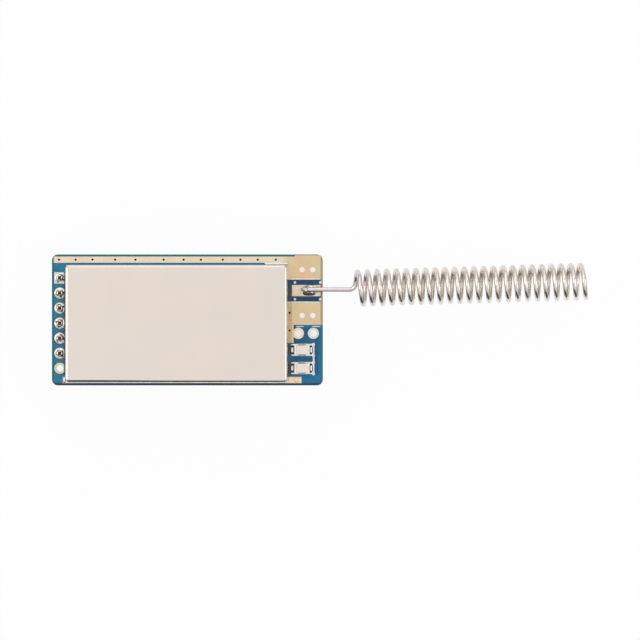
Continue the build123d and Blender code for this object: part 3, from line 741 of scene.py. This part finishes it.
# Painted shade as dark film beside the can and the lamps, on the lamps' ends, under the lead and at the
# round pads' corners, and painted dark reflections on the posts' solder
shade_spots = [((30.57, -2.0 + shift), (0.24, 0.42), 0.03) for shift in (-0.5, 0.15, 0.8)]
for low, high in lamp_boxes:
    y = (low[1] + high[1]) / 2
    shade_spots += [((30.58, y), (0.27, 0.74), 0.06), ((33.56, y), (0.07, 0.5), 0.09)]
    shade_spots += [((x, y + side * 0.47), (0.22, 0.17), 0.33) for x in (30.89, 33.32) for side in (-1, 1)]
shade_spots += [((33.15, -2.06), (0.85, 0.3), 0.34),
          ((31.22, -6.42), (0.12, 0.16), 0.03),
          ((31.18, -8.08), (0.12, 0.13), 0.03)]
# Painted dark reflections on the posts' solder cones
cone_shade_reach = 0.46
for i, turn in enumerate((-0.5, -1.3, 0.4, 2.8, -0.2, -0.9)):
    for step, size in ((0.0, 0.17), (1.5, 0.13)):
        x = cone_shade_reach * math.cos(turn + step)
        y = -header_pitch * i + cone_shade_reach * math.sin(turn + step)
        shade_spots.append(((x, y), (size, size * 0.85), 0.4))
# Painted shade beside the can's left wall
wall_shade_x = 0.63
shade_marks = [ridge([(wall_shade_x, 0.8), (wall_shade_x, -6.0), (wall_shade_x, -12.8)], 0.085, 0.13, mask_top)]
shade_marks += [blot(c, half, rise, mask_top, corner=3.5, wobble=0.05) for c, half, rise in shade_spots]
add_piece("painted_shade_marks", *together(shade_marks), "black_plastic", shade_film)

# Tin that wets the bare strip along the can's lower wall, and the runs of solder along both walls
tin_y, lower_run_y, upper_run_y = can_low[1] - 0.095, can_low[1] + 0.05, can_high[1] + 0.2
tinned_runs = [line_on(pad_top, [(x0, tin_y), (x1, tin_y)], 0.17, 0.05)
               for x0, x1 in ((0.9, 24.8), (24.7, 30.2))]
runs = [line_on(mask_top, [(27.2, upper_run_y), (30.28, upper_run_y)], 0.44, 0.33)]
runs += [line_on(pad_top, [(x0, lower_run_y), (x1, lower_run_y)], 0.2, 0.28)
         for x0, x1 in ((0.9, 4.95), (14.65, 18.55), (24.65, 30.2))]
runs.append(blot((0.62, -13.56), (0.22, 0.4), 0.24, pad_top, corner=3.0))
solder_runs = add_piece("solder_runs", *together(runs), "solder", finishes["solder"])
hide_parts("shield_solder")

# Solder on the posts: a flat bright foot that turns up steeply against the post
foot = [(0.5, -0.02), (0.71, -0.01), (0.7, 0.02), (0.6, 0.045), (0.52, 0.07), (0.46, 0.12), (0.415, 0.24),
        (0.385, 0.42), (0.37, 0.6), (0.35, 0.68), (0.2, 0.66)]
sway = [0.0, 0.02, 0.03, 0.08, 0.12, 0.15, 0.15, 0.1, 0.04, 0.0, 0.0]
profile = [(radius, pad_top + rise) for radius, rise in foot]
cones = [cone((0.0, -header_pitch * i), profile, sway, 1.7 * i) for i in range(post_count)]
post_cones = add_piece("post_solder_cones", *together(cones), "solder", finishes["solder"])
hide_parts(*[f"post_solder_{i + 1}" for i in range(post_count)])

# The mound of solder that holds the antenna's lead: a low skirt, and a hump over the lead's end
joint_low, joint_high = box_mm("antenna_joint")
hump_low, hump_high = np.array((31.95, -1.98, pad_top)), np.array((33.8, -1.08, pad_top + 0.88))
mounds = [lumpy_mound(joint_low, joint_high, pad_top, 0.3),
          lumpy_mound(hump_low, hump_high, pad_top, 0.2)]
pale_solder = solder("lead solder", (242, 232, 234), 0.03)
joint = add_piece("lead_solder", *together(mounds), "solder", pale_solder)
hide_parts("antenna_joint")

# Drops on the gold tab at the lower strip's end, and tin along the ground pads' edges at the gap
tab_drops = [blot((31.5, -13.56), (0.42, 0.36), 0.07, pad_top),
             blot((30.5, -13.52), (0.2, 0.36), 0.05, pad_top)]
tinned_runs += [line_on(pad_top, [(30.75, y), (34.5, y)], 0.12, 0.012)
                for y in (pad_high[1] + 0.78, pad_low[1] - 0.78)]
add_piece("strip_tinning", *together(tinned_runs), "tinned_pads", bright_tin)
add_piece("tab_drops", *together(tab_drops), "gold_pads", bare_gold)


# Floor, light and camera

scene = bpy.context.scene
scene.view_settings.view_transform = "Standard"
look_x, look_y = 34.57, -5.59
camera_height = 500.0
field_mm = 85.04

floor_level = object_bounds()[0][2] - 0.0002


def studio_floor():
    """A wide pale floor: white to the camera, with a warm painted shadow below the board, dark in metal on
    the near side.
    """
    mesh = bpy.data.meshes.new("floor")
    reach = 3.0
    x, y = look_x * MM, look_y * MM
    corners = [(*corner, floor_level) for corner in rectangle(x - reach, y - reach, x + reach, y + reach)]
    mesh.from_pydata(corners, [], [(0, 1, 2, 3)])
    floor = bpy.data.objects.new("floor", mesh)
    scene.collection.objects.link(floor)
    material = bpy.data.materials.new("pale floor")
    material.use_nodes = True
    material.node_tree.nodes.clear()
    tree = Tree(material.node_tree)
    path = tree.add("ShaderNodeLightPath")
    point = tree.add("ShaderNodeTexCoord").outputs["Object"]
    along = tree.add("ShaderNodeSeparateXYZ", {0: point}).outputs[1]
    near_from, near_to, near_dark = -0.036, -0.028, 0.88
    near = tree.ramp(along, near_from, near_to, near_dark, 0.0)
    mirrored = tree.math("MAXIMUM", path.outputs["Is Glossy Ray"], path.outputs["Is Transmission Ray"])
    strength = tree.math("SUBTRACT", 1.0, tree.math("MULTIPLY", mirrored, near))
    paper = tree.add("ShaderNodeBsdfDiffuse", {"Color": (0.92, 0.92, 0.92, 1)})
    # Painted shadow: the floor warmer under the board, fading in from its outline
    below = tree.group(inside, {"Point": point, "Low": (*board_low[:2].tolist(), 0.0),
                                "High": (*board_high[:2].tolist(), 0.0), "Width": 1.9})[0]
    tone = tree.mix(below, (1, 1, 1, 1), linear(245, 233, 223))
    white = tree.add("ShaderNodeEmission", {"Color": tone, "Strength": strength})
    seen = tree.math("MAXIMUM", path.outputs["Is Camera Ray"], mirrored)
    glow = 0.95
    share = tree.math("MULTIPLY", seen, glow)
    blend = tree.add("ShaderNodeMixShader", {0: share, 1: paper.outputs[0], 2: white.outputs[0]})
    tree.add("ShaderNodeOutputMaterial", {"Surface": blend.outputs[0]})
    mesh.materials.append(material)


def studio_world():
    """Soft white surroundings. Bright metal sees them darker towards the horizon and on the near side."""
    world = bpy.data.worlds.new("studio")
    scene.world = world
    world.use_nodes = True
    world.node_tree.nodes.clear()
    tree = Tree(world.node_tree)
    path = tree.add("ShaderNodeLightPath")
    way = tree.add("ShaderNodeSeparateXYZ", {0: tree.add("ShaderNodeTexCoord").outputs["Generated"]})
    bright = tree.ramp(way.outputs[2], 0.1, 0.95, 0.6, 1.0)
    near_side = (-0.26, -0.966)
    towards = tree.math("ADD", tree.math("MULTIPLY", way.outputs[0], near_side[0]),
                        tree.math("MULTIPLY", way.outputs[1], near_side[1]))
    seen = tree.ramp(towards, 0.7, 0.95, bright, 0.04)
    soft = tree.add("ShaderNodeBackground", {"Color": (1, 1, 1, 1), "Strength": 0.62})
    mirrored = tree.add("ShaderNodeBackground", {"Color": (1, 1, 1, 1), "Strength": seen})
    white = tree.add("ShaderNodeBackground", {"Color": (1, 1, 1, 1), "Strength": 1.0})
    glossy = tree.math("MAXIMUM", path.outputs["Is Glossy Ray"], path.outputs["Is Transmission Ray"])
    first = tree.add("ShaderNodeMixShader", {0: glossy, 1: soft.outputs[0], 2: mirrored.outputs[0]})
    final = tree.add("ShaderNodeMixShader", {0: path.outputs["Is Camera Ray"], 1: first.outputs[0],
                                             2: white.outputs[0]})
    tree.add("ShaderNodeOutputWorld", {"Surface": final.outputs[0]})


def soft_lamp(name, place, size, power):
    """A square soft lamp that faces the middle of the module."""
    data = bpy.data.lights.new(name, "AREA")
    data.shape = "SQUARE"
    data.size = size
    data.energy = power
    lamp = bpy.data.objects.new(name, data)
    scene.collection.objects.link(lamp)
    target = np.array((look_x * MM, look_y * MM, 0.0))
    lamp.location = target + np.array(place)
    away = lamp.location - Vector(target)
    lamp.rotation_mode = "QUATERNION"
    lamp.rotation_quaternion = away.to_track_quat("Z", "Y")


def photo_camera():
    """A camera that looks straight down, with the photograph's right and up along +X and +Y."""
    data = bpy.data.cameras.new("camera")
    data.sensor_width = 36.0
    data.lens = data.sensor_width * camera_height / field_mm
    data.clip_start = 0.01
    data.clip_end = 10.0
    camera = bpy.data.objects.new("camera", data)
    scene.collection.objects.link(camera)
    camera.location = (look_x * MM, look_y * MM, (mask_top + camera_height) * MM)
    scene.camera = camera


studio_floor()
studio_world()
soft_lamp("left lamp", (-0.30, 0.06, 0.34), 0.3, 0.34)
soft_lamp("far lamp", (0.02, 0.38, 0.28), 0.5, 0.34)
soft_lamp("right lamp", (0.32, -0.02, 0.32), 0.3, 0.26)
photo_camera()
